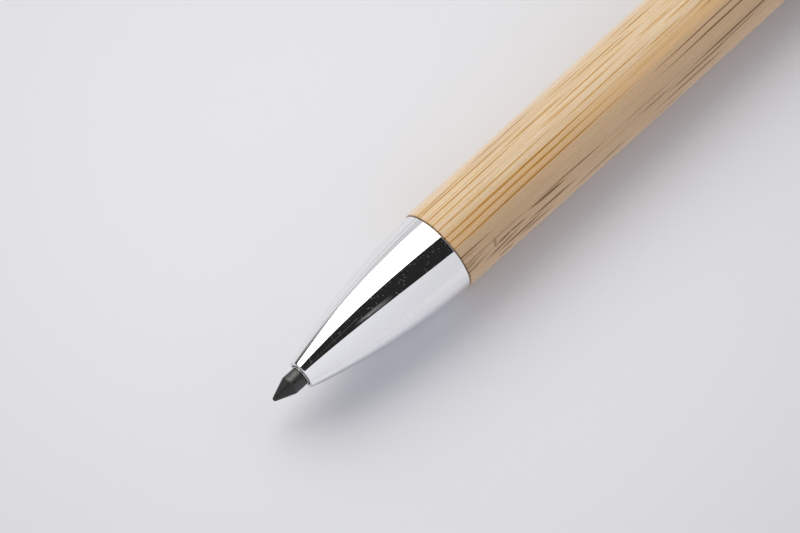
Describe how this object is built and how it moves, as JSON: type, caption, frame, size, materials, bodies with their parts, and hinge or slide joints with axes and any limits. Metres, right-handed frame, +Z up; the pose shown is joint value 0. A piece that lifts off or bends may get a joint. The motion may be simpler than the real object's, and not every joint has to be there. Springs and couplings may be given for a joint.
{
  "type": "inkless pencil",
  "caption": "Slim push-button pencil that writes with a hard alloy tip and no ink, with a polished ogive nose, a turned bamboo barrel and a spring clip.",
  "frame": {"origin": "centre of the bounding box's underside: the table that the pencil lies on, with its belly and one corner of its clip touching it", "axes": "+X along the pencil from the writing tip to the push button, +Y to the side that the clip is on, +Z up from the table"},
  "size_m": [0.1396, 0.0138, 0.0114],
  "materials": {
    "alloy": "satin",
    "chrome": "polished",
    "bamboo": "satin",
    "brass": "satin",
    "steel": "satin",
    "dark_plastic": "matte",
    "white_plastic": "matte"
  },
  "bodies": {
    "body": {"nose_cone": "chrome", "front_coupler": "brass", "barrel": "bamboo", "liner_tube": "brass", "rear_coupler": "brass", "cam_sleeve": "white_plastic", "rear_collar": "chrome", "clip_band": "chrome", "return_spring": "steel"},
    "button": {"push_button": "chrome", "plunger": "dark_plastic"},
    "refill": {"writing_tip": "alloy", "tip_holder": "brass", "refill_tube": "steel", "tail_plug": "dark_plastic"},
    "rotor": {"rotor": "white_plastic"},
    "clip": {"clip_arm": "chrome"}
  },
  "joints": [
    {"name": "button_press", "type": "slide", "parent": "body", "child": "button", "axis": [-1, 0, 0], "range_m": [-0.0054, 0.0012], "stiffness_N_per_m": 350},
    {"name": "refill_slide", "type": "slide", "parent": "body", "child": "refill", "axis": [-1, 0, 0], "range_m": [-0.0054, 0.0012], "deforming": ["return_spring"]},
    {"name": "rotor_turn", "type": "hinge", "parent": "refill", "child": "rotor", "pos_m": [0.04023, -0.0012, 0.0057], "axis": [1, 0, 0], "range_deg": [-9, 9]},
    {"name": "clip_flex", "type": "hinge", "parent": "body", "child": "clip", "pos_m": [0.05291, 0.00436, 0.00274], "axis": [0, -0.4697, -0.8828], "range_deg": [0, 6], "stiffness_Nm_per_rad": 1.5}
  ],
  "couplings": [
    {"joint": "refill_slide", "follows": "button_press", "ratio": 1}
  ]
}
